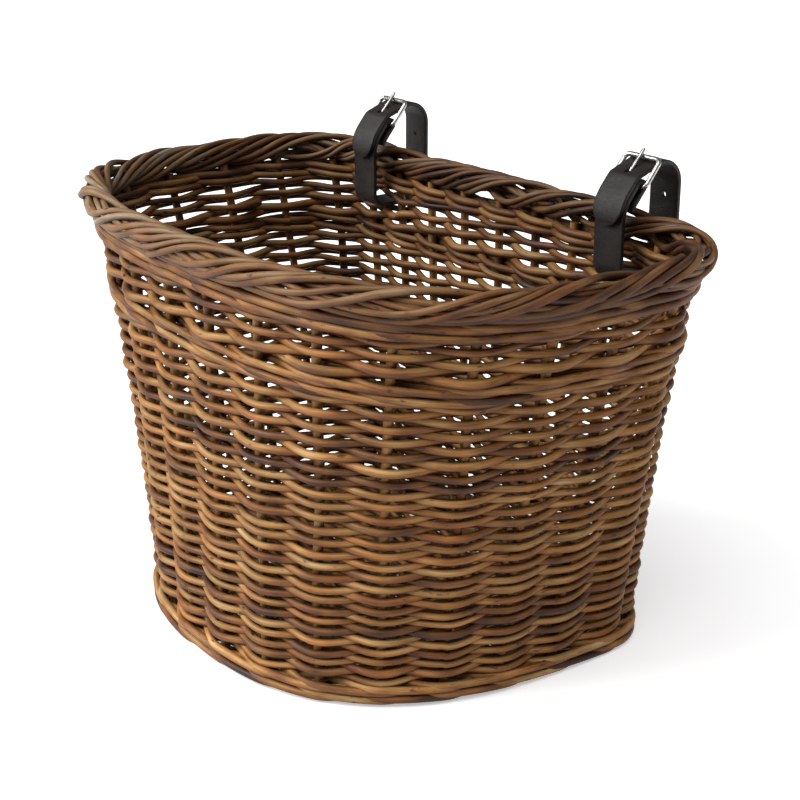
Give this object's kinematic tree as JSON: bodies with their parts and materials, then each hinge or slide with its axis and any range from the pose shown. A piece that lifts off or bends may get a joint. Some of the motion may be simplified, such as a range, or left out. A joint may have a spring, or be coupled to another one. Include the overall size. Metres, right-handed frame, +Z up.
{
  "type": "bicycle handlebar basket",
  "caption": "D-shaped woven wicker handlebar basket with a rolled rim and two buckled leather straps that loop over a handlebar.",
  "frame": {"origin": "on the ground under the middle of the bounding box", "axes": "+Z up, +Y towards the handlebar (flat back with the straps), -Y the bowed front, X along the handlebar"},
  "size_m": [0.377, 0.2389, 0.264],
  "materials": {
    "wicker": "satin",
    "cane": "satin",
    "border": "satin",
    "leather": "satin",
    "thread": "matte",
    "nickel": "polished"
  },
  "bodies": {
    "basket": {"base_hoop": "cane", "base_sticks": "cane", "base_weave": "wicker", "foot_wale": "wicker", "back_stakes": "cane", "left_stakes": "cane", "front_stakes": "cane", "right_stakes": "cane", "lower_weave": "wicker", "mid_wale": "wicker", "upper_weave": "wicker", "top_wale": "wicker", "rim_border": "border"},
    "left_strap": {"left_strap": "leather", "left_strap_stitching": "thread"},
    "left_buckle": {"left_buckle_frame": "nickel"},
    "left_prong": {"left_buckle_prong": "nickel"},
    "right_strap": {"right_strap": "leather", "right_strap_stitching": "thread"},
    "right_buckle": {"right_buckle_frame": "nickel"},
    "right_prong": {"right_buckle_prong": "nickel"}
  },
  "joints": [
    {"name": "left_strap_swing", "type": "hinge", "parent": "basket", "child": "left_strap", "pos_m": [-0.1045, 0.0954, 0.1985], "axis": [1, 0, 0], "range_deg": [-8, 8]},
    {"name": "left_buckle_tilt", "type": "hinge", "parent": "left_strap", "child": "left_buckle", "pos_m": [-0.1045, 0.0907, 0.24688], "axis": [1, 0, 0], "range_deg": [0, 6]},
    {"name": "left_prong_lift", "type": "hinge", "parent": "left_buckle", "child": "left_prong", "pos_m": [-0.1045, 0.0907, 0.24688], "axis": [1, 0, 0], "range_deg": [0, 12]},
    {"name": "right_strap_swing", "type": "hinge", "parent": "basket", "child": "right_strap", "pos_m": [0.1045, 0.0954, 0.1985], "axis": [1, 0, 0], "range_deg": [-8, 8]},
    {"name": "right_buckle_tilt", "type": "hinge", "parent": "right_strap", "child": "right_buckle", "pos_m": [0.1045, 0.0907, 0.24688], "axis": [1, 0, 0], "range_deg": [0, 6]},
    {"name": "right_prong_lift", "type": "hinge", "parent": "right_buckle", "child": "right_prong", "pos_m": [0.1045, 0.0907, 0.24688], "axis": [1, 0, 0], "range_deg": [0, 12]}
  ]
}
